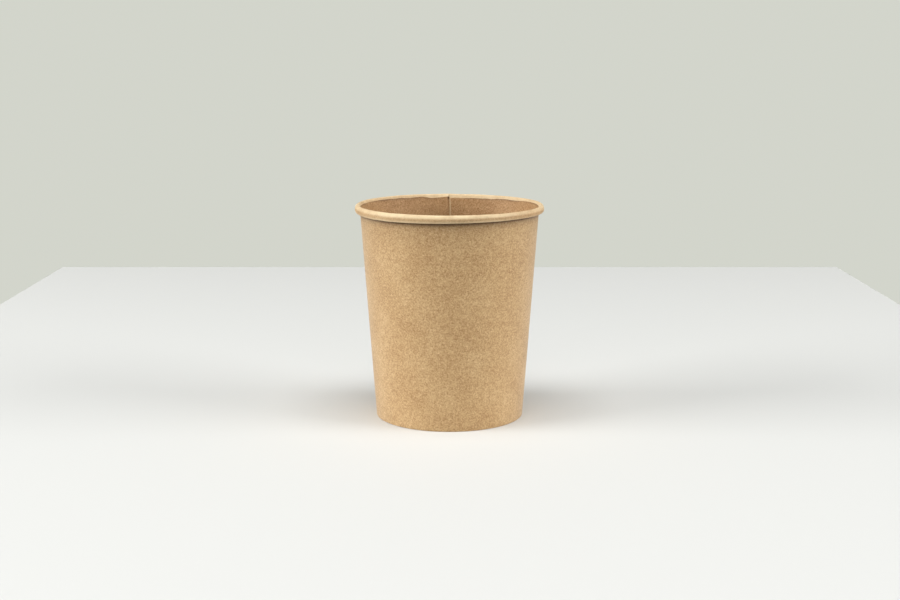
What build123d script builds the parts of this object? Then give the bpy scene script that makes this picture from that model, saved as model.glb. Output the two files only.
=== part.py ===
from build123d import *
from itertools import pairwise
from math import atan, ceil, cos, degrees, radians, sin, tan
import os

# Kraft paper soup container: a tapered side wall rolled from one sheet of board, and a bottom disc
# sealed into its foot. The axis is +Z, the floor is z = 0, and the side seam is at the back, on +Y.
# Sections are drawn with x as the radius and y as the height, and then turned about the axis.

# Driving dimensions, in millimetres and degrees
height = 133.0  # floor to the top of the rolled rim
base_diameter = 92.0  # outside of the wall, at the floor
mouth_diameter = 111.2  # outside of the wall, carried up to the height of the rim's top
wall_board = 0.45  # thickness of the side wall's board
disc_board = 0.40  # thickness of the bottom disc's board
seal_film = 0.05  # sealing film, on each side of the disc's skirt
bend_step = 40.0  # most that one flat facet of a round bend may turn

seam_lap = 8.0  # overlap of the sheet's two ends, at the mouth
seam_step = 2.5  # length over which one layer steps clear of the other
seam_angle = 90.0  # direction of the inner layer's cut edge, from +X

hem_height = 7.0  # floor to the edge of the turned-in hem
disc_recess = 9.0  # floor to the underside of the disc
disc_bend = 0.80  # inside radius where the disc turns down into its skirt

# The rim's bends are inside radii, on the hollow side of a roll that is two boards thick at the seam.
crease_turn = 20.0  # how far the wall's creased top edge leans out into the flare
crown_bend = 0.45  # top of the roll, from the flare over to the nose
nose_turn = 65.0  # how far the crown turns down on the outside
side_bend = 3.15  # slightly bowed outer side of the roll
foot_bend = 0.20  # underside of the roll, which brings the sheet back up
tuck_run = 1.30  # straight end of the sheet, hidden in the roll
tuck_gap = 0.12  # between the hidden end and the thickest wall

# Worked out from the driving dimensions
lap_boards = 2 * wall_board
taper = atan((mouth_diameter - base_diameter) / 2 / height)
taper_turn = degrees(taper)
lap_turn = degrees(seam_lap / (mouth_diameter / 2))
step_turn = degrees(seam_step / (mouth_diameter / 2))
pocket = disc_board + 2 * seal_film  # room for the disc's skirt between wall and hem
crown_radius = crown_bend + lap_boards
side_radius = side_bend + lap_boards
foot_radius = foot_bend + lap_boards
flare_turn = 90 - taper_turn - crease_turn  # from the flare to the level top of the roll
side_turn = 2 * (90 - nose_turn)  # the side is as steep at its top as at its bottom
foot_turn = 90 + nose_turn  # the roll ends pointing straight up


def wall_radius(inset, z):
    """Radius at height z of the cone that lies inset from the wall's outer face, towards the axis."""
    return base_diameter / 2 + z * tan(taper) - inset / cos(taper)


def turned(length, angle):
    """Step of the given length, at an angle from the section's x axis."""
    return Vector(length * cos(radians(angle)), length * sin(radians(angle)))


def bent_line(at, heading, walk):
    """Corners of a line that leaves a point at a heading and follows a walk.

    Each row of the walk is a straight run, then a bend's radius and its turn, where a left turn is
    positive. A bend of no radius is a crease, and a round one is drawn as equal chords.
    """
    corners = [at]
    for run, radius, turn in walk:
        if run:
            corners.append(corners[-1] + turned(run, heading))
        chords = ceil(abs(turn) / bend_step) if radius else 0
        for index in range(chords):
            chord = 2 * radius * sin(radians(abs(turn) / chords / 2))
            corners.append(corners[-1] + turned(chord, heading + turn * (index + 0.5) / chords))
        heading += turn
    return corners


def beside(corners, depth):
    """The parallel line at a depth to the right of a line of corners, mitred at each corner."""
    sides = [(end - start).normalized().rotate(Axis.Z, -90) for start, end in pairwise(corners)]
    meeting = zip(sides[:1] + sides, sides + sides[-1:])
    return [at + (a + b) * (depth / (1 + a.dot(b))) for at, (a, b) in zip(corners, meeting)]


def stood_up(corners, first, last, angle):
    """Face between the depths first and last of a line, stood up at an angle about the axis."""
    outline = beside(corners, first) + beside(corners, last)[::-1]
    return (Plane.XZ * make_face(Polyline(*outline, close=True))).rotate(Axis.Z, angle)


def board_line(lift):
    """The wall board's inside face in section, from the hem's edge to the end hidden in the rim.

    lift raises the fold off the floor, for a layer that lies on another one there.
    """
    fold_level = wall_board + lift
    nose = radians(nose_turn)
    crease = radians(crease_turn)

    # The roll is placed by its hidden end, which stands just clear of the wall.
    foot_reach = foot_radius * (1 + sin(nose))
    nose_reach = crown_radius * sin(nose)
    roll_drop = (crown_radius + foot_radius) * (1 - cos(nose)) + 2 * side_radius * cos(nose)
    tuck_top = height - roll_drop + foot_radius + tuck_run
    crest = wall_radius(-wall_board, tuck_top) + tuck_gap + foot_reach - nose_reach

    # The flare carries the wall out to the crown, so both are measured square to the wall and along it.
    shoulder = crest - wall_radius(wall_board, height)
    crown_out = crown_radius * (cos(crease) - sin(taper))
    crown_rise = crown_radius * (cos(taper) - sin(crease)) - shoulder * sin(taper)
    flare_run = (shoulder * cos(taper) - crown_out) / sin(crease)
    wall_run = (height - fold_level) / cos(taper) - flare_run * cos(crease) - crown_rise

    hem_edge = Vector(wall_radius(wall_board + pocket, hem_height), hem_height)
    return bent_line(hem_edge, -90 - taper_turn, [
        ((hem_height - fold_level) / cos(taper), 0, 90 + taper_turn),
        (pocket / cos(taper), 0, 90 - taper_turn),
        (wall_run, 0, -crease_turn),
        (flare_run, crown_radius, -flare_turn),
        (0, crown_radius, -nose_turn),
        (0, side_radius, -side_turn),
        (0, foot_radius, -foot_turn),
        (tuck_run, 0, 0),
    ])


def side_wall():
    """The sheet, all the way round: single, stepping up to the lap, the lap, and stepping back down.

    In the lap the inner layer lies on the contents' side of the wall and on top in the fold, and the
    outer layer lies on the outside of the wall, under the fold and on the hollow side of the roll.
    """
    flat = board_line(0)
    lifted = board_line(wall_board)
    lap_start = seam_angle - lap_turn
    inner_step_start = lap_start - step_turn
    outer_step_end = seam_angle + step_turn
    single_turn = 360 - lap_turn - 2 * step_turn

    single = stood_up(flat, 0, wall_board, outer_step_end)
    lap = stood_up(lifted, 0, lap_boards, lap_start)
    inner_step = [
        stood_up(flat, 0, wall_board, inner_step_start),
        stood_up(lifted, 0, wall_board, lap_start),
    ]
    outer_step = [
        stood_up(lifted, wall_board, lap_boards, seam_angle),
        stood_up(flat, 0, wall_board, outer_step_end),
    ]
    return (
        revolve(single, Axis.Z, single_turn)
        + loft(inner_step, ruled=True)
        + revolve(lap, Axis.Z, lap_turn)
        + loft(outer_step, ruled=True)
    )


def bottom_disc():
    """A round of board with its edge turned down into a skirt, which hangs between wall and hem."""
    top = disc_recess + disc_board
    skirt_foot = lap_boards + seal_film
    bend_radius = disc_bend + disc_board
    bend_turn = 90 + taper_turn
    bend_run = bend_radius * tan(radians(bend_turn / 2))
    disc_run = wall_radius(wall_board + seal_film, top) - bend_run
    skirt_run = (top - skirt_foot) / cos(taper) - bend_run
    upper_face = bent_line(Vector(0, top), 0, [
        (disc_run, bend_radius, -bend_turn),
        (skirt_run, 0, 0),
    ])
    return revolve(stood_up(upper_face, 0, disc_board, 0), Axis.Z)


os.makedirs("parts", exist_ok=True)
export_step(side_wall(), "parts/side_wall.step")
export_step(bottom_disc(), "parts/bottom_disc.step")
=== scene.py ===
import bpy
import numpy as np
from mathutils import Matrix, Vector


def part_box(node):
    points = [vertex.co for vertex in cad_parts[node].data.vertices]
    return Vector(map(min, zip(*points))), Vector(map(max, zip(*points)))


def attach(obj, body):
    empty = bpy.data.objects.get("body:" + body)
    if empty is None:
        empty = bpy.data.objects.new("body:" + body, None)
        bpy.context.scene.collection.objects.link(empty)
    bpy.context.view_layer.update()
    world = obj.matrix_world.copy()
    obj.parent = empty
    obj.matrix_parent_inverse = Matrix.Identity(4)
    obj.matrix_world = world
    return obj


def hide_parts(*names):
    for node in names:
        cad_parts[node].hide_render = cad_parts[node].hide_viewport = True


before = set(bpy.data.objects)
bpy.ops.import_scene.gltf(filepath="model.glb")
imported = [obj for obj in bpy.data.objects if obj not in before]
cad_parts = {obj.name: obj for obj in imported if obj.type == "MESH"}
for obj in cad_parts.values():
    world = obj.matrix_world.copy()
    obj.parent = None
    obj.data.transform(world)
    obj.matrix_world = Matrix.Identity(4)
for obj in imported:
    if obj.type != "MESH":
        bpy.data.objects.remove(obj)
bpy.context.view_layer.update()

# A kraft paper soup container: one sheet of board rolled into a cone, with a rolled rim, a lapped seam
# and a folded hem, and a bottom disc sealed into the hem. Lengths are in millimetres and angles in
# degrees until a mesh is made, in metres. Angles about the axis run from +X towards +Y.
MM = 0.001

# The container, as its solids have it. Bends are outside radii.
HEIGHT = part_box("side_wall")[1].z / MM
BASE_DIAMETER = 92.0  # outside of the wall, at the floor
MOUTH_DIAMETER = 111.2  # outside of the wall, carried up to the height of the rim's top
WALL_BOARD = 0.45  # thickness of the side wall's board
DISC_BOARD = 0.40  # thickness of the bottom disc's board
SEAL_FILM = 0.05  # sealing film, on each side of the disc's skirt
SEAM_LAP = 8.0  # overlap of the sheet's two ends, at the mouth
SEAM_STEP = 2.5  # length over which one layer steps clear of the other
SEAM_ANGLE = 90.0  # direction of the inner layer's cut edge
HEM_HEIGHT = 7.0  # floor to the edge of the turned-in hem
DISC_RECESS = 9.0  # floor to the underside of the disc
DISC_BEND = 1.20  # where the disc turns down into its skirt
CROWN_BEND = 1.35  # top of the rim's roll
TUCK_RUN = 1.30  # straight end of the sheet, hidden in the roll
TUCK_GAP = 0.12  # between the hidden end and the thickest wall

# The rest of the roll, as deep and as wide as in its solid, but rounder
CREASE_TURN = 15.0  # how far the wall's creased top edge leans out into the flare
NOSE_TURN = 54.0  # how far the crown turns down on the outside
SIDE_BEND = 3.28  # bowed outer side
FOOT_BEND = 1.02  # underside, which brings the sheet back up

# What paper adds to that
GLUE_LINE = 0.015  # kept free between the two layers of the lap
FOLD_BEND = 0.15  # inside radius of the hem's folds
NECK = 8.0  # top stretch of the wall, below the crease
CREASE_BEND = 0.48  # radius of the crease below the flare, where the board is single
CREASE_NARROWED = 12.0  # how much sharper the crease is where the flare beside the seam is narrow
NARROWEST = 1.5  # how many times as much where the flare is narrowest
CREASE_WANDER = 1.6  # how far the crease's turn wanders
CREASE_LIMITS = 11.0, 34.0  # least and most that the crease turns
ROLL_SPREAD = 0.38  # how much deeper than usual the roll is where it is slackest
ROLL_TRIM = 0.08  # how much shallower the roll is all round
SLACKEST = 225.0  # direction where the roll is slackest
EDGE_BEVEL = 0.60  # how far a cut edge at the seam is crushed back on its open side
BEVEL_WIDTHS = 1.2, 1.0  # width of the crushed stretch at the sheet's start and at its end, in degrees
EDGE_CURL = 0.10  # how far the inner layer's cut edge stands off
CURL_WIDTH = 1.4  # width of the curled stretch, in degrees
SEAM_GROOVE = 0.12  # depth of the groove that the cut edge has pressed into the outer layer
GROOVE_DEEPER = 1.2  # how much deeper the groove is at the crease, as a share
GROOVE_REACH = 0.9  # how far above and below the crease it is deeper
GROOVE_PLACE = 359.4  # middle of the groove, along the sheet
GROOVE_WIDTH = 0.4  # width of the groove, in degrees
RAISED_END = 359.93, 359.84  # where the outer layer's raised stretch in the rim ends, along the sheet
RIM_SAG = 0.21  # how far the rim lies below its highest point, on average
SAG_WAVES = 0.62, 0.38  # shares of one wave and of two waves round the axis in that sag
SAG_RIPPLE = 0.03  # uneven part of the sag
HIGHEST = 140.0  # direction where the rim is highest
RIM_RIPPLE = 0.020  # how far the rim is pushed in and out
WALL_RIPPLE = 0.045  # how far the wall is pushed in, on average
LEAST_PUSH = 0.01  # least that the wall is pushed in, which keeps it inside its solid
SET_LEVELS = 40.0, HEIGHT - 6.0  # heights between which the wall leaves its cone to follow the rim
RIM_LEVELS = HEIGHT - 9.0, HEIGHT - 4.0  # heights between which the rim's own ripple comes in
LOOSE_LEVELS = 10.0, 14.0  # heights between which the seam's cut edges come free of the disc
CREASE_LEVEL = HEIGHT - 3.0  # where the crumples and the groove are deepest
CRUMPLE_REACH = 1.6  # how far above and below that a crumple reaches
PUSHED_SHARE = 0.7  # width of a crumple's pushed patch, as a share of the crumple's
DISC_MIDDLE = 0.6  # radius of the fan of triangles at the disc's middle
DISC_DIP = 0.22  # how far the disc's middle sinks
DIP_WIDTH = 22.0  # radius of that dip
DISC_WAVE = 0.09  # height of the disc's slow waves
WAVE_MEAN = 1.2  # how far down those waves lie, in their own heights
WAVE_RADII = 4.0, 26.0  # between which the waves come in
FREE_RADII = 44.0, 30.0  # between which the disc comes free of its bend

# Wear of the board, painted highlight and painted shade, from 0 to 1
SIDE_LESS = 0.75  # how much less pale the side of the roll is, with less painted highlight than the crown
FOOT_MORE = 0.52  # how much of that paleness the foot of the roll regains, as painted light from below
LEFT_FLARE_LESS = 0.4  # how much less pale the flare left of the seam is, as a share
CUT_EDGE_PALE = 0.6  # how pale the inner layer's cut edge is
PALE_EDGE_END = 0.75, 0.35  # where that pale edge ends, along the sheet
ROLL_SHADE = 1.15  # strength of the painted shade on the wall under the roll, before it is held to 1
SHADE_FADE = 2.0  # length over which that fades below the roll
CREASE_SHADE = 0.35, 0.2  # mean and spread of the faint painted shade line inside the crease
CREASE_SHADE_LINE = 0.1, 0.55  # depth of that line below the crease, and its width
SHADE_SPOT_SIZE = 0.6, 0.8  # width of the painted shadow spot beside the seam, in degrees, and its height
DISC_BEND_STRETCH = 0.5  # how far the disc is stretched over its bend
DISC_BEND_PLACE = 0.75, 0.2  # middle and width of that bend, in stations on the disc's section

# Directions and shapes of the small crumples along the crease: how wide each is, in degrees, how far it
# is pushed in, and how much it opens the crease.
CRUMPLES = [
    (92.0, 2.2, 0.00, 8.0),
    (118.5, 3.2, 0.22, -5.0),
    (110.0, 3.0, -0.10, 4.5),
    (74.5, 1.6, 0.10, 1.0),
    (46.0, 4.5, -0.10, 3.0),
    (39.0, 2.2, 0.16, -1.5),
    (31.0, 2.0, 0.14, 2.0),
    (162.0, 3.5, 0.14, -3.0),
    (214.0, 4.0, -0.10, 3.0),
    (247.0, 2.5, 0.12, -2.5),
    (318.0, 3.5, 0.14, -3.0),
    (352.0, 3.0, -0.10, 2.5),
]

# Stretches of the rim that stand higher: the middle and width of each, in degrees, and by how much.
HIGH_STRETCHES = [
    (20.0, 28.0, 0.28),
    (SEAM_ANGLE + 1.0, 4.0, 0.22),
]

# Stretches of the rim that are less pale, with less board stretch and less painted highlight: the middle and
# width of each, in degrees, and by how much.
LESS_PALE_STRETCHES = [
    (-36.0, 22.0, 0.42),
    (10.0, 35.0, 0.25),
    (90.0, 90.0, 0.25),
    (168.0, 30.0, 0.22),
    (204.0, 13.0, 0.28),
]

# Stations on the section of the wall's sheet. Each row of its walk counts one: its run is the first half
# and its bend the second.
WALL, CREASE, FLARE, CROWN, NOSE_END, SIDE = 2.0, 3.5, 4.0, 4.5, 6.0, 6.5

# Finishes of a piece, by number, and how far apart the grain is taken for faces that don't continue
COATED, PLAIN, CUT = 0, 1, 2
OUTSIDE_GRAIN = 500.0
DISC_GRAIN = 300.0
UNDERSIDE_GRAIN = 400.0
SHARP_TURN = 40.0  # faces that turn by more than this meet at a sharp edge

taper = np.arctan((MOUTH_DIAMETER - BASE_DIAMETER) / 2 / HEIGHT)
lap_turn = np.degrees(SEAM_LAP / (MOUTH_DIAMETER / 2))
step_turn = np.degrees(SEAM_STEP / (MOUTH_DIAMETER / 2))
pocket = DISC_BOARD + 2 * SEAL_FILM


def wall_radius(inset, z):
    """Radius at height z of the cone that lies inset from the wall's outer face: it grows by the taper."""
    return BASE_DIAMETER / 2 + z * np.tan(taper) - inset / np.cos(taper)


def eased(value, start, end):
    """Goes from 0 at start to 1 at end along 3t² - 2t³, and stays there."""
    t = np.clip((value - start) / (end - start), 0, 1)
    return t * t * (3 - 2 * t)


def hump(value, middle, width):
    """Bell curve exp(-d²) of the distance from its middle, in widths."""
    return np.exp(-(((value - middle) / width) ** 2))


def round_the_rim(angle, middle):
    """Signed difference between two directions about the axis, from -180 to 180."""
    return (angle - middle + 180) % 360 - 180


def stretch(angle, middle, width):
    """Bell curve of the direction about the axis."""
    return hump(round_the_rim(angle, middle), 0, width)


def left_of_seam(from_seam):
    """1 from 23 to 90 degrees to the left of the seam, easing to 0 at 11 and 110 degrees."""
    return eased(from_seam, 11, 23) * eased(from_seam, 110, 90)


def right_of_seam(from_seam):
    """1 from 66 to 110 degrees to the right of the seam, easing to 0 at 44 and 125 degrees."""
    return eased(from_seam, -44, -66) * eased(from_seam, -125, -110)


def ripple(angle, first, last, seed):
    """Uneven wave round the axis: cosines of the whole orders first to last, each with its own phase.

    Their heights fall with the square root of the order, and the sum is scaled to a mean square of 1.
    """
    orders = np.arange(first, last + 1)
    chance = np.random.default_rng(seed)
    phases = chance.uniform(0, 2 * np.pi, orders.size)
    heights = chance.uniform(0.4, 1.0, orders.size) / np.sqrt(orders)
    waves = heights * np.cos(np.radians(angle)[..., None] * orders + phases)
    return waves.sum(-1) / np.sqrt((heights**2).sum() / 2)


def board_line(start, heading, walk):
    """A line bent in section, as an array of its radii, heights, lengths travelled, headings and stations.

    The line leaves its start at a heading. A straight run adds its length along the heading. A bend of
    radius R from heading a to b adds R (sin b - sin a) outward and R (cos a - cos b) upward where it turns
    left, and the opposite where it turns right. Each row of the walk is a run and its number of steps, then
    a bend's radius, its turn and its number of steps. A station is the row's number, plus up to a half along
    its run and the other half round its bend.
    """
    heading = heading + 0 * start[0]
    at = np.stack([*start, 0 * start[0]])
    places, headings, stations = [at], [heading], [np.zeros(1)]
    for row, (run, run_steps, bend, turn, turn_steps) in enumerate(walk):
        share = np.linspace(0, 1, run_steps + 1)
        facing = heading + 0 * share
        travelled = run * share
        moves = travelled * np.cos(facing), travelled * np.sin(facing), travelled
        line = at + np.stack(np.broadcast_arrays(*moves))
        places.append(line[..., 1:])
        headings.append(facing[:, 1:])
        stations.append(row + share[1:] / 2)
        at = line[..., -1:]

        share = np.linspace(0, 1, turn_steps + 1)
        facing = heading + turn * share
        arc = np.sign(turn) * bend
        moves = (
            arc * (np.sin(facing) - np.sin(heading)),
            arc * (np.cos(heading) - np.cos(facing)),
            bend * np.abs(turn) * share,
        )
        line = at + np.stack(np.broadcast_arrays(*moves))
        places.append(line[..., 1:])
        headings.append(facing[:, 1:])
        stations.append(row + 0.5 + share[1:] / 2)
        at = line[..., -1:]
        heading = facing[:, -1:]
    radius, height, length = np.concatenate(places, -1)
    return np.stack([radius, height, length, np.hstack(headings), np.concatenate(stations) + 0 * radius])


def board_face(line, depth):
    """Radii and heights of the face that lies at a depth to the right of a line, square to its heading."""
    radius, height, _, heading, _ = line
    return radius + depth * np.sin(heading), height - depth * np.cos(heading)


def grid_quads(rows, columns):
    """Corner numbers of the quads of a grid of points, one row after the other."""
    corner = np.arange(rows * columns).reshape(rows, columns)
    quads = [corner[:-1, :-1], corner[1:, :-1], corner[1:, 1:], corner[:-1, 1:]]
    return np.stack(quads, -1).reshape(-1, 4)


def board_piece(name, points, grain, paling_and_shade, faces, finish_of_face, finishes):
    """Mesh object from points in millimetres and a list of faces as corner numbers.

    Each point has its place in the grain, how pale the board is there, partly from its stretch and partly
    as painted highlight, and how much painted shade it carries, from 0 to 1. Faces meet smoothly, except
    at the board's cut edges, where they turn by more than SHARP_TURN.
    """
    mesh = bpy.data.meshes.new(name)
    mesh.from_pydata((points * MM).tolist(), [], faces)
    mesh.polygons.foreach_set("material_index", finish_of_face.astype(np.int32))
    mesh.polygons.foreach_set("use_smooth", np.ones(len(faces), dtype=bool))
    corners = np.empty(len(mesh.loops), dtype=np.int32)
    mesh.loops.foreach_get("vertex_index", corners)
    mesh.uv_layers.new(name="grain").data.foreach_set("uv", grain[corners].ravel())
    for kind, amount in paling_and_shade.items():
        mesh.attributes.new(kind, "FLOAT", "POINT").data.foreach_set("value", amount.astype(np.float32))
    mesh.set_sharp_from_angle(angle=np.radians(SHARP_TURN))
    for finish in finishes:
        mesh.materials.append(finish)
    piece = bpy.data.objects.new(name, mesh)
    bpy.context.scene.collection.objects.link(piece)
    return piece


# Side wall

def inner_layer(along):
    """1 where the sheet's start lies over its end, easing to 0 over the step beside the lap."""
    return eased(along, lap_turn + step_turn, lap_turn)


def outer_layer(along):
    """1 where the sheet's end lies under its start, easing from 0 over the step beside the lap."""
    return eased(along, 360 - step_turn, 360)


def sheet_line(along, angle):
    """Section of the face of the wall's sheet that touches the contents, for places along the sheet.

    The walk starts at the hem's edge, goes down, round the two folds of the hem, up the wall, out over
    the crease into the flare, and round the crown, the nose, the side and the foot of the rolled rim to
    the end that is tucked up inside it. Corners are rounded by taking radius x tan(turn / 2) off the runs
    on both sides. At the lap the fold is lifted by one board. The crease's turn wanders round the axis and
    is sharper, with a narrower flare, to the left and right of the seam. The roll's depth follows a slow
    wave of two periods.
    """
    fold_level = WALL_BOARD * (1 + inner_layer(along) + outer_layer(along))
    from_seam = round_the_rim(angle, SEAM_ANGLE)
    narrowed = left_of_seam(from_seam) * (1 + (NARROWEST - 1) * eased(from_seam, 45, 62))
    narrowed = narrowed + NARROWEST * right_of_seam(from_seam)
    crease_turn = CREASE_TURN + CREASE_NARROWED * narrowed + CREASE_WANDER * ripple(angle, 6, 48, seed=3)
    for middle, width, _, opened in CRUMPLES:
        crease_turn = crease_turn + opened * stretch(angle, middle, width)
    crease = np.radians(np.clip(crease_turn, *CREASE_LIMITS))
    nose = np.radians(NOSE_TURN)

    # The roll is placed by its hidden end, which stands just clear of the wall.
    slack = ROLL_SPREAD * np.cos(2 * np.radians(angle - SLACKEST)) - ROLL_TRIM
    side_bend = SIDE_BEND + slack / (2 * np.cos(nose))
    roll_drop = (CROWN_BEND + FOOT_BEND) * (1 - np.cos(nose)) + 2 * side_bend * np.cos(nose)
    tuck_top = HEIGHT - roll_drop + FOOT_BEND + TUCK_RUN
    foot_reach = FOOT_BEND * (1 + np.sin(nose))
    crest = wall_radius(-WALL_BOARD, tuck_top) + TUCK_GAP + foot_reach - CROWN_BEND * np.sin(nose)

    # The flare carries the wall out to the crown, so both are measured square to the wall and along it.
    shoulder = crest - wall_radius(WALL_BOARD, HEIGHT)
    crown_out = CROWN_BEND * (np.cos(crease) - np.sin(taper))
    crown_rise = CROWN_BEND * (np.cos(taper) - np.sin(crease)) - shoulder * np.sin(taper)
    flare_run = (shoulder * np.cos(taper) - crown_out) / np.sin(crease)
    wall_run = (HEIGHT - fold_level) / np.cos(taper) - flare_run * np.cos(crease) - crown_rise

    first_fold = np.pi / 2 + taper
    second_fold = np.pi / 2 - taper
    first_trim = FOLD_BEND * np.tan(first_fold / 2)
    second_trim = FOLD_BEND * np.tan(second_fold / 2)
    crease_bend = CREASE_BEND + WALL_BOARD * outer_layer(along)
    crease_trim = crease_bend * np.tan(crease / 2)
    hem_run = (HEM_HEIGHT - fold_level) / np.cos(taper) - first_trim
    pocket_run = pocket / np.cos(taper) - first_trim - second_trim
    flare = np.pi / 2 - taper - crease
    side = 2 * (np.pi / 2 - nose)
    hem_radius = wall_radius(WALL_BOARD + pocket, HEM_HEIGHT)
    start = np.full_like(along, hem_radius), np.full_like(along, HEM_HEIGHT)
    return board_line(start, -np.pi / 2 - taper, [
        (hem_run, 5, FOLD_BEND, first_fold, 5),
        (pocket_run, 1, FOLD_BEND, second_fold, 5),
        (wall_run - second_trim - crease_trim - NECK, 12, 0, 0, 0),
        (NECK, 12, crease_bend, -crease, 4),
        (flare_run - crease_trim, 3, CROWN_BEND, -flare, 8),
        (0, 0, CROWN_BEND, -nose, 8),
        (0, 0, side_bend, -side, 7),
        (0, 0, FOOT_BEND, -np.pi / 2 - nose, 8),
        (TUCK_RUN, 2, 0, 0, 0),
    ])


def settled(radius, z, angle, along, station, side):
    """Radius and height of the sheet after it has taken the uneven set of paper.

    The rim sags by a slow wave round the axis, less so further down the wall, and stands higher at the
    lap and on the right. The crumples push the sheet in over a bell-shaped patch at the crease. The wall
    and the rim each carry a ripple of a few hundredths of a millimetre. At the seam the inner layer's end
    curls in, and beside it the inside face of the outer layer has a groove, deepest at the crease.
    """
    height_share = eased(z, *SET_LEVELS)
    rim_share = eased(z, *RIM_LEVELS)
    turn = np.radians(angle - HIGHEST)
    sag = RIM_SAG * (1 - SAG_WAVES[0] * np.cos(turn) - SAG_WAVES[1] * np.cos(2 * turn))
    sag = sag + SAG_RIPPLE * ripple(angle, 4, 24, seed=5)
    for middle, width, raised in HIGH_STRETCHES:
        sag = sag - raised * stretch(angle, middle, width)
    z = z - np.maximum(sag, 0) * height_share

    push = RIM_RIPPLE * ripple(angle, 18, 70, seed=7) * rim_share
    push = push + WALL_RIPPLE * (1 + ripple(angle, 2, 12, seed=11)) * height_share
    for middle, width, pushed, _ in CRUMPLES:
        patch = stretch(angle, middle, PUSHED_SHARE * width) * hump(z, CREASE_LEVEL, CRUMPLE_REACH)
        push = push + pushed * patch
    on_the_wall = eased(station, FLARE + 0.3, FLARE - 0.1) * eased(z, *LOOSE_LEVELS) * (station > WALL)
    deeper = 1 + GROOVE_DEEPER * hump(z, CREASE_LEVEL, GROOVE_REACH)
    groove = SEAM_GROOVE * deeper * hump(along, GROOVE_PLACE, GROOVE_WIDTH) * ~side
    curl = EDGE_CURL * eased(along, CURL_WIDTH, 0)
    radius = radius + (groove - curl) * on_the_wall
    return radius - np.maximum(push, LEAST_PUSH * height_share), z


def wall_paling_and_shade(z, along, angle, station, side):
    """How pale the sheet's points are, and how much painted shade they carry, from 0 to 1.

    The sheet is paler over the flare and the crown, partly from the board's stretch and partly as painted
    highlight, and less so on the side of the roll, on the flare left of the seam and in a few stretches of
    the rim; the foot of the roll is paler again, as painted light from below. The inner layer's cut edge is
    pale too. Painted shade darkens the outside of the wall where the roll sits against it: that fades with
    exp(-d / SHADE_FADE) below the roll. A fainter painted shade line follows the inside of the crease, and
    ends in a painted shadow spot where the outer layer is folded in beside the seam.
    """
    # Paleness over the flare and the crown: partly the board's stretch, partly painted highlight; the foot's
    # extra paleness is painted light from below.
    left_flare = left_of_seam(round_the_rim(angle, SEAM_ANGLE)) * eased(station, CROWN + 0.25, CROWN - 0.1)
    less_pale = 0 * angle
    for middle, width, amount in LESS_PALE_STRETCHES:
        less_pale = less_pale + amount * stretch(angle, middle, width)
    on_side = eased(station, SIDE + 0.11, SIDE + 0.26)
    on_foot = eased(station, SIDE + 0.32, SIDE + 0.48)
    on_flare = eased(station, CREASE + 0.05, CREASE + 0.28)
    stretch_and_highlight = on_flare * (1 - SIDE_LESS * on_side + FOOT_MORE * on_foot)
    stretch_and_highlight = stretch_and_highlight * (1 - LEFT_FLARE_LESS * left_flare) * (1 - less_pale)
    on_the_wall = eased(station, CREASE + 0.2, CREASE) * eased(station, WALL, WALL + 0.3)
    cut_edge = CUT_EDGE_PALE * eased(along, *PALE_EDGE_END) * on_the_wall
    stretch_and_highlight = np.maximum(stretch_and_highlight, cut_edge) * ~side

    # Painted shade: the outside of the wall is darkened just under the roll, fading downward.
    on_roll = (station[0] >= NOSE_END) & ~side
    below_roll = np.maximum(z[:, on_roll].min(1, keepdims=True) - z, 0)
    beside_roll = (station > WALL) * (station < FLARE) * side * (along > 0.1)
    shade_under_roll = ROLL_SHADE * np.exp(-below_roll / SHADE_FADE) * beside_roll

    # Painted shade: a faint line inside the crease, ending in a darker painted shadow spot beside the seam.
    crease_start = int(np.searchsorted(station[0, ~side], CREASE))
    below_crease = np.maximum(z[:, [crease_start]] - z, 0)
    faint = np.clip(CREASE_SHADE[0] + CREASE_SHADE[1] * ripple(angle, 3, 30, seed=23), 0, 1)
    spot = hump(along, GROOVE_PLACE, SHADE_SPOT_SIZE[0]) * hump(below_crease, 0, SHADE_SPOT_SIZE[1])
    shade_in_crease = (faint * hump(below_crease, *CREASE_SHADE_LINE) + spot) * eased(station, FLARE, FLARE - 0.25)
    painted_shade = np.clip(shade_under_roll + shade_in_crease * (station > WALL) * ~side, 0, 1)
    return {"stretch_and_highlight": stretch_and_highlight.ravel(), "painted_shade": painted_shade.ravel()}


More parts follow.
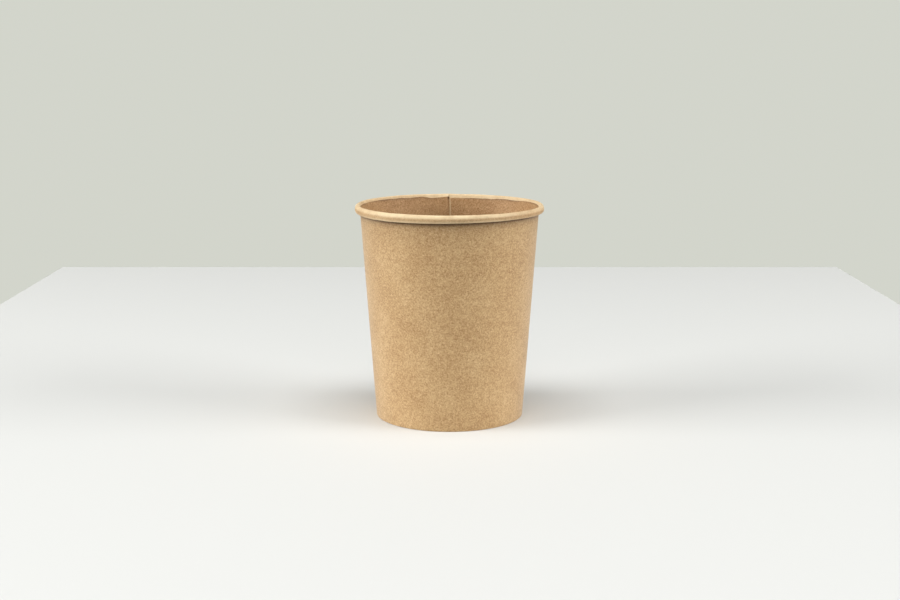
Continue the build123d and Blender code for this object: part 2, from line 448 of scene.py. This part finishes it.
def wall_sheet(finishes):
    """The side wall: both faces of its section carried along the sheet, joined at its four cut edges.

    The sheet starts at the inner layer's cut edge and goes once round and on over the lap. A place along
    it is the angle turned since the start, close together at the lap and further apart elsewhere. The
    outer layer is one board deeper. The cut edges at the seam are crushed to a bevel on the wall, and in
    the rolled rim the outer layer is raised level with the inner layer's cut edge. The grain follows
    the length of each face, which in a bend differs by the thickness times the turn.
    """
    sheet_end = 360 + lap_turn
    along = np.concatenate([
        np.linspace(0, 2, 14, endpoint=False),
        np.linspace(2, 13, 26, endpoint=False),
        np.linspace(13, 350, 464, endpoint=False),
        np.linspace(350, 357, 20, endpoint=False),
        np.linspace(357, 361, 34, endpoint=False),
        np.linspace(361, sheet_end, 22),
    ])[:, None]
    angle = SEAM_ANGLE - along
    line = sheet_line(along, angle)
    count = line.shape[2]
    line = np.concatenate([line, line[..., ::-1]], -1)
    length, heading, station = line[2:]
    side = np.arange(2 * count) >= count
    in_rim = eased(station, FLARE - 0.1, FLARE + 0.2) * ~side
    raised = (WALL_BOARD - 2 * GLUE_LINE) * outer_layer(along) * eased(along, *RAISED_END) * in_rim
    thickness = (WALL_BOARD - GLUE_LINE) * side
    depth = WALL_BOARD * outer_layer(along) + thickness - raised
    radius, z = settled(*board_face(line, depth), angle, along, station, side)

    bevel = np.degrees(EDGE_BEVEL / (MOUTH_DIAMETER / 2))
    start_crushed = eased(along, BEVEL_WIDTHS[0], 0) * ~side
    end_crushed = eased(along, sheet_end - BEVEL_WIDTHS[1], sheet_end) * side
    crushed = (start_crushed - end_crushed) * eased(station, CREASE - 0.02, CREASE - 0.4)
    turn = np.radians(angle - bevel * crushed)
    points = np.stack([radius * np.cos(turn), radius * np.sin(turn), z], -1)
    around = np.radians(along) * MOUTH_DIAMETER / 2
    face_length = length + thickness * (heading - heading[:, :1])
    grain = np.stack([around + 0 * length, face_length + OUTSIDE_GRAIN * side], -1)
    paling_and_shade = wall_paling_and_shade(z, along, angle, station, side)

    # Each row of points is a closed ring: up the inside, over the hidden end and back down the outside.
    rows, columns = points.shape[:2]
    faces = grid_quads(rows, columns + 1)
    row_of, column_of = np.divmod(faces, columns + 1)
    faces = row_of * columns + column_of % columns
    column = column_of[:, 0]
    finish = np.where(column < count - 1, COATED, PLAIN)
    finish[(column == count - 1) | (column == columns - 1)] = CUT

    # The rings at the sheet's start and end are filled by strips across the board.
    step = np.arange(count - 1)
    strip = np.stack([step, step + 1, columns - 2 - step, columns - 1 - step], -1)
    ends = np.vstack([strip, strip[:, ::-1] + (rows - 1) * columns])
    faces = np.vstack([faces, ends]).tolist()
    finish = np.concatenate([finish, np.full(len(ends), CUT)])
    points, grain = points.reshape(-1, 3), grain.reshape(-1, 2)
    return board_piece("rolled_side_wall", points, grain, paling_and_shade, faces, finish, finishes)


# Bottom disc

def disc_line(angle):
    """Section of the bottom disc's upper face: level, round the bend, and down the skirt."""
    top = DISC_RECESS + DISC_BOARD
    skirt_foot = 2 * WALL_BOARD + SEAL_FILM
    turn = np.pi / 2 + taper
    trim = DISC_BEND * np.tan(turn / 2)
    run = wall_radius(WALL_BOARD + SEAL_FILM, top) - trim - DISC_MIDDLE
    skirt = (top - skirt_foot) / np.cos(taper) - trim
    start = np.full_like(angle, DISC_MIDDLE), np.full_like(angle, top)
    return board_line(start, 0.0, [(run, 26, DISC_BEND, -turn, 8), (skirt, 4, 0, 0, 0)])


def disc_sheet(finishes):
    """The bottom disc: both faces of its section turned about the axis, with a point at each middle.

    The level part is buckled a little: it sinks by a bell curve at the middle and by slow waves that fade
    out at the middle and at the bend. The grain is laid out flat, at the section's length from the middle.
    """
    angle = np.linspace(0, 360, 300, endpoint=False)[:, None]
    line = disc_line(angle)
    count = line.shape[2]
    line = np.concatenate([line, line[..., ::-1]], -1)
    length, station = line[2], line[4]
    side = np.arange(2 * count) >= count
    radius, z = board_face(line, DISC_BOARD * side)
    free = eased(radius, *FREE_RADII)
    wave = ripple(angle, 2, 5, seed=17) * eased(radius, *WAVE_RADII)
    z = z - free * (DISC_DIP * hump(radius, 0, DIP_WIDTH) + DISC_WAVE * np.maximum(WAVE_MEAN + wave, 0))
    turn = np.radians(angle) + 0 * radius
    points = np.stack([radius * np.cos(turn), radius * np.sin(turn), z], -1)

    rows, columns = points.shape[:2]
    faces = grid_quads(rows + 1, columns)[:, ::-1]
    faces = (faces // columns % rows) * columns + faces % columns
    column = np.tile(np.arange(columns - 1), rows)
    finish = np.where(column < count - 1, COATED, PLAIN)
    finish[column == count - 1] = CUT
    ring = np.arange(rows) * columns
    onward = (np.arange(rows) + 1) % rows * columns
    top_middle = np.full(rows, rows * columns)
    fans = np.vstack([
        np.stack([ring, onward, top_middle], -1),
        np.stack([onward + columns - 1, ring + columns - 1, top_middle + 1], -1),
    ])
    faces = faces.tolist() + fans.tolist()
    finish = np.concatenate([finish, np.full(rows, COATED), np.full(rows, PLAIN)])

    middles = points[:, [0, -1]].mean(0)
    points = np.vstack([points.reshape(-1, 3), middles])
    under = np.concatenate([np.tile(side, rows), [False, True]])
    reach = length + radius[:, :1]
    grain = np.stack([reach * np.cos(turn), reach * np.sin(turn)], -1).reshape(-1, 2)
    grain = np.vstack([grain, middles[:, :2]]) + DISC_GRAIN + UNDERSIDE_GRAIN * under[:, None]
    bent = DISC_BEND_STRETCH * hump(station, *DISC_BEND_PLACE) * ~side
    stretch_and_highlight = np.concatenate([bent.ravel(), [0, 0]])
    paling_and_shade = {"stretch_and_highlight": stretch_and_highlight, "painted_shade": 0 * stretch_and_highlight}
    return board_piece("bottom_disc_board", points, grain, paling_and_shade, faces, finish, finishes)


# Finishes

# Dark brown of the painted shade under the roll and in the crease
PAINTED_SHADE_BROWN = (0.045, 0.020, 0.013)
PAINTED_SHADE_SHARE = 0.95  # how much of that brown shows where the painted shade is strongest
FIBRE_SIZE = (2.4, 0.30, 1)  # length and width of a fibre, in millimetres
FIBRE_LIMITS = 0.22, 0.55  # strength of the noise where a fibre starts and where it is full
FIBRE_TONE = 0.24  # how far the strongest fibres change the tone
FIBRE_WANDER = 1.7  # how far the fibres stray from straight lines, in millimetres
WANDER_CELLS = 0.11  # cells to the millimetre of the noise that bends them
SPECK_LIMITS = 0.020, 0.012  # distance from a cell's middle where a speck starts and where it is full
MIDDLE_TONE = 0.5  # tone that the ramp turns into the middle brown
DARK_TONE, PALE_TONE = 0.15, 0.85  # tones that it turns into the dark and the pale brown
STRETCH_TONE = 0.88, 0.25  # mean and spread of how much of the pale brown, from board stretch and painted highlight, shows
STRETCH_CELLS = 0.16  # cells to the millimetre of that spread
RELIEF = 0.06  # height of the fibres, in millimetres
SPECKLE_RELIEF = 0.35  # height of the speckle, as a share of that
FUZZ_ROUGHNESS = 0.5

# Noises in the tone, from clouds to speckle: cells to the millimetre, how rough, and how strong
MOTTLES = [(0.05, 0.5, 0.10), (0.28, 0.5, 0.12), (0.9, 0.6, 0.28)]

# Directions of the fibres, in radians, paler or darker, and where in the noise each kind is taken from
FIBRES = [(0.4, 1, 11.0), (1.5, -1, 57.0), (2.6, 1, 93.0), (0.9, -1, 31.0)]

# Specks and flecks: how many cells to the millimetre, the change of tone, and where they are taken from
SPECKS = [(0.042, -0.5, 7.0), (0.036, 0.45, 77.0)]


def node(tree, kind, values, **settings):
    """Adds a shader node, sets its settings and gives each named input a value or a link."""
    made = tree.nodes.new(kind)
    for name, value in settings.items():
        setattr(made, name, value)
    for name, value in values.items():
        if isinstance(value, bpy.types.NodeSocket):
            tree.links.new(value, made.inputs[name])
        else:
            made.inputs[name].default_value = value
    return made


def weighed(tree, value, weight, base):
    """Node value times a weight, added to a base."""
    values = {0: value, 1: weight, 2: base}
    return node(tree, "ShaderNodeMath", values, operation="MULTIPLY_ADD").outputs[0]


def product(tree, first, second):
    """Product of two node values."""
    return node(tree, "ShaderNodeMath", {0: first, 1: second}, operation="MULTIPLY").outputs[0]


def larger(tree, first, second):
    """The larger of two node values."""
    return node(tree, "ShaderNodeMath", {0: first, 1: second}, operation="MAXIMUM").outputs[0]


def spread(tree, value, start, end, most):
    """Node value spread from 0 at start to the most at end, and kept between them."""
    values = {"Value": value, "From Min": start, "From Max": end, "To Min": 0.0, "To Max": most}
    return node(tree, "ShaderNodeMapRange", values).outputs[0]


def noise_cells(tree, place, scale, detail, roughness):
    """Noise centred on 0, with this many cells to the millimetre."""
    values = {"Vector": place, "Scale": scale, "Detail": detail, "Roughness": roughness}
    return node(tree, "ShaderNodeTexNoise", values, normalize=False).outputs


def noise(tree, place, scale, detail, roughness):
    """One value of the noise."""
    return noise_cells(tree, place, scale, detail, roughness)[0]


def attribute_share(tree, kind):
    """Share of one kind that the points carry: paleness, with painted highlight, or painted shade."""
    return node(tree, "ShaderNodeAttribute", {}, attribute_name=kind).outputs["Fac"]


def mixed(tree, share, first, second):
    """Colour that goes from the first to the second by a share.

    The node's colours are its inputs 6 and 7 and its output 2.
    """
    return node(tree, "ShaderNodeMix", {0: share, 6: first, 7: second}, data_type="RGBA").outputs[2]


def kraft_board(name, dark, middle, pale, drawn_and_highlight, roughness, gloss, fuzz, tooth):
    """Brown kraft board: cloudy, mottled and speckled, with short pale and dark fibres lying every way.

    The tone is a sum of noises at 20, 4 and 1 mm, of sparse dark specks and pale flecks at the middles of
    wide cells, and of fibres, which are noise lengthened eight times along one of four directions, bent by
    a slow noise, and kept only where it is strong. A ramp turns the tone into brown. Where the board is
    paled round the rim it goes to a paler, more even brown, partly from the board's stretch and partly as
    painted highlight, and where it carries painted shade, under the roll and in the crease, it is dark.
    The same fibres and speckle raise the surface by hundredths of a millimetre. Loose fibres stand up as a
    faint fuzz, which is palest where the board is seen at a low angle.
    """
    finish = bpy.data.materials.new(name)
    finish.use_nodes = True
    tree = finish.node_tree
    shader = tree.nodes["Principled BSDF"]
    place = node(tree, "ShaderNodeUVMap", {}, uv_map="grain").outputs["UV"]

    mottles = [noise(tree, place, scale, 2.0, rough) for scale, rough, _ in MOTTLES]
    tone = MIDDLE_TONE
    for mottle, (_, _, strength) in zip(mottles, MOTTLES):
        tone = weighed(tree, mottle, strength, tone)
    for scale, change, start in SPECKS:
        values = {"Vector": place, "Location": (start, start, 0)}
        shifted = node(tree, "ShaderNodeMapping", values).outputs[0]
        values = {"Vector": shifted, "Scale": scale}
        cells = node(tree, "ShaderNodeTexVoronoi", values, voronoi_dimensions="2D").outputs["Distance"]
        tone = weighed(tree, spread(tree, cells, *SPECK_LIMITS, 1.0), change, tone)

    wander = noise_cells(tree, place, WANDER_CELLS, 1.0, 0.5)["Color"]
    values = {0: wander, 1: (FIBRE_WANDER, FIBRE_WANDER, 0.0), 2: place}
    wandering = node(tree, "ShaderNodeVectorMath", values, operation="MULTIPLY_ADD").outputs[0]
    fibres = 0.0
    for turn, change, start in FIBRES:
        values = {
            "Vector": wandering,
            "Location": (start, start, 0),
            "Rotation": (0, 0, turn),
            "Scale": FIBRE_SIZE,
        }
        drawn_out = node(tree, "ShaderNodeMapping", values, vector_type="TEXTURE").outputs[0]
        strong = spread(tree, noise(tree, drawn_out, 1.0, 1.0, 0.5), *FIBRE_LIMITS, FIBRE_TONE)
        tone = weighed(tree, strong, change, tone)
        fibres = weighed(tree, strong, 1.0, fibres)

    ramp = node(tree, "ShaderNodeValToRGB", {"Fac": tone})
    ramp.color_ramp.elements[0].position = DARK_TONE
    ramp.color_ramp.elements[0].color = (*dark, 1)
    ramp.color_ramp.elements[1].position = PALE_TONE
    ramp.color_ramp.elements[1].color = (*pale, 1)
    ramp.color_ramp.elements.new(MIDDLE_TONE).color = (*middle, 1)
    # Paler brown where the points carry it: partly the board's stretch, partly painted highlight.
    mean, uneven = STRETCH_TONE
    drawn_share = weighed(tree, noise(tree, place, STRETCH_CELLS, 2.0, 0.6), uneven, mean)
    share = product(tree, attribute_share(tree, "stretch_and_highlight"), drawn_share)
    brown = mixed(tree, share, ramp.outputs["Color"], (*drawn_and_highlight, 1))
    # Painted shade: dark brown under the roll and in the crease.
    share = product(tree, attribute_share(tree, "painted_shade"), PAINTED_SHADE_SHARE)
    brown = mixed(tree, share, brown, (*PAINTED_SHADE_BROWN, 1))
    tree.links.new(brown, shader.inputs["Base Color"])

    relief = weighed(tree, mottles[-1], SPECKLE_RELIEF, fibres)
    bump = node(tree, "ShaderNodeBump", {"Height": relief, "Strength": tooth, "Distance": RELIEF * MM})
    tree.links.new(bump.outputs["Normal"], shader.inputs["Normal"])
    shader.inputs["Roughness"].default_value = roughness
    shader.inputs["Specular IOR Level"].default_value = gloss
    shader.inputs["Sheen Weight"].default_value = fuzz
    shader.inputs["Sheen Roughness"].default_value = FUZZ_ROUGHNESS
    return finish


# The coated face's browns are set darker than the plain board's: painted shade for the inside of the
# container, which also darkens the coated face of the roll.
coated_kraft = kraft_board(
    "coated_kraft",
    dark=(0.305, 0.161, 0.064), middle=(0.458, 0.272, 0.127), pale=(0.59, 0.382, 0.200),
    drawn_and_highlight=(0.80, 0.636, 0.395), roughness=0.60, gloss=0.25, fuzz=0.0, tooth=0.4,
)
plain_kraft = kraft_board(
    "plain_kraft",
    dark=(0.343, 0.188, 0.075), middle=(0.532, 0.338, 0.156), pale=(0.69, 0.490, 0.265),
    drawn_and_highlight=(0.79, 0.620, 0.365), roughness=0.80, gloss=0.25, fuzz=0.32, tooth=0.7,
)
cut_kraft = kraft_board(
    "cut_kraft",
    dark=(0.38, 0.225, 0.105), middle=(0.55, 0.375, 0.195), pale=(0.70, 0.520, 0.310),
    drawn_and_highlight=(0.79, 0.620, 0.365), roughness=0.90, gloss=0.15, fuzz=0.25, tooth=1.0,
)
board_finishes = [coated_kraft, plain_kraft, cut_kraft]

wall = wall_sheet(board_finishes)
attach(wall, "root")
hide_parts("side_wall")

disc = disc_sheet(board_finishes)
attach(disc, "root")
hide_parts("bottom_disc")


# Stage, light and camera, in metres and watts

FLOOR_WHITE = (0.695, 0.70, 0.68)
FLOOR_ROUGHNESS = 0.7
BACKDROP_WHITE = (0.65, 0.665, 0.60)
LIT_PLACE = (0.0, 0.0, 0.07)  # what the lamps face: the container's middle
CAMERA_PLACE = (0.0003, -0.8713, 0.23475)
CAMERA_DIP = 10.551  # how far the camera looks down, in degrees
CAMERA_LENS = 56.66  # focal length, in millimetres
CAMERA_SENSOR = 36.0  # width of the sensor, in millimetres


def floor_finish(color):
    """Matt white table top, of one even colour."""
    finish = bpy.data.materials.new("pale_floor")
    finish.use_nodes = True
    shader = finish.node_tree.nodes["Principled BSDF"]
    shader.inputs["Base Color"].default_value = (*color, 1)
    shader.inputs["Roughness"].default_value = FLOOR_ROUGHNESS
    return finish


def floor_sheet(half_width, front, back):
    """Flat floor under the container: x and y of its four corners, at height 0."""
    x = np.array([-half_width, half_width, half_width, -half_width])
    y = np.array([-front, -front, back, back])
    mesh = bpy.data.meshes.new("floor")
    mesh.from_pydata(np.stack([x, y, 0 * x], -1).tolist(), [], [[0, 1, 2, 3]])
    mesh.materials.append(floor_finish(FLOOR_WHITE))
    floor = bpy.data.objects.new("floor", mesh)
    bpy.context.scene.collection.objects.link(floor)
    return floor


def soft_box(name, place, size, power):
    """Rectangular lamp of the given size, turned towards the container, which the camera doesn't see."""
    lamp = bpy.data.lights.new(name, "AREA")
    lamp.shape = "RECTANGLE"
    lamp.size, lamp.size_y = size
    lamp.energy = power
    box = bpy.data.objects.new(name, lamp)
    box.location = place
    facing = Vector(LIT_PLACE) - Vector(place)
    box.rotation_euler = facing.to_track_quat("-Z", "Y").to_euler()
    box.visible_camera = False
    bpy.context.scene.collection.objects.link(box)


def seen_directly(tree):
    """1 for rays from the camera, also by way of a mirror or a pane, and 0 for light that is handed on."""
    path = node(tree, "ShaderNodeLightPath", {}).outputs
    seen = larger(tree, path["Is Camera Ray"], path["Is Glossy Ray"])
    return larger(tree, seen, path["Is Transmission Ray"])


floor_sheet(0.40, 0.45, 0.575)
soft_box("overhead_box", place=(0.0, -0.624, 3.004), size=(2.4, 1.7), power=72)
soft_box("left_box", place=(-2.375, -0.636, 0.916), size=(1.4, 1.2), power=62)
soft_box("right_box", place=(2.375, -0.636, 0.916), size=(1.4, 1.2), power=49)
soft_box("front_box", place=(0.0, -2.298, 1.998), size=(1.6, 1.2), power=7)

world = bpy.data.worlds.new("pale_room")
bpy.context.scene.world = world
world.use_nodes = True
tree = world.node_tree
no_light = node(tree, "ShaderNodeBackground", {"Strength": 0.0}).outputs[0]
backdrop = node(tree, "ShaderNodeBackground", {"Color": (*BACKDROP_WHITE, 1), "Strength": 1.0}).outputs[0]
shown = node(tree, "ShaderNodeMixShader", {0: seen_directly(tree), 1: no_light, 2: backdrop}).outputs[0]
tree.links.new(shown, tree.nodes["World Output"].inputs["Surface"])

lens = bpy.data.cameras.new("camera")
lens.sensor_width = CAMERA_SENSOR
lens.lens = CAMERA_LENS
camera = bpy.data.objects.new("camera", lens)
camera.location = CAMERA_PLACE
camera.rotation_euler = (np.radians(90 - CAMERA_DIP), 0, 0)
bpy.context.scene.collection.objects.link(camera)
bpy.context.scene.camera = camera
bpy.context.scene.view_settings.view_transform = "Standard"
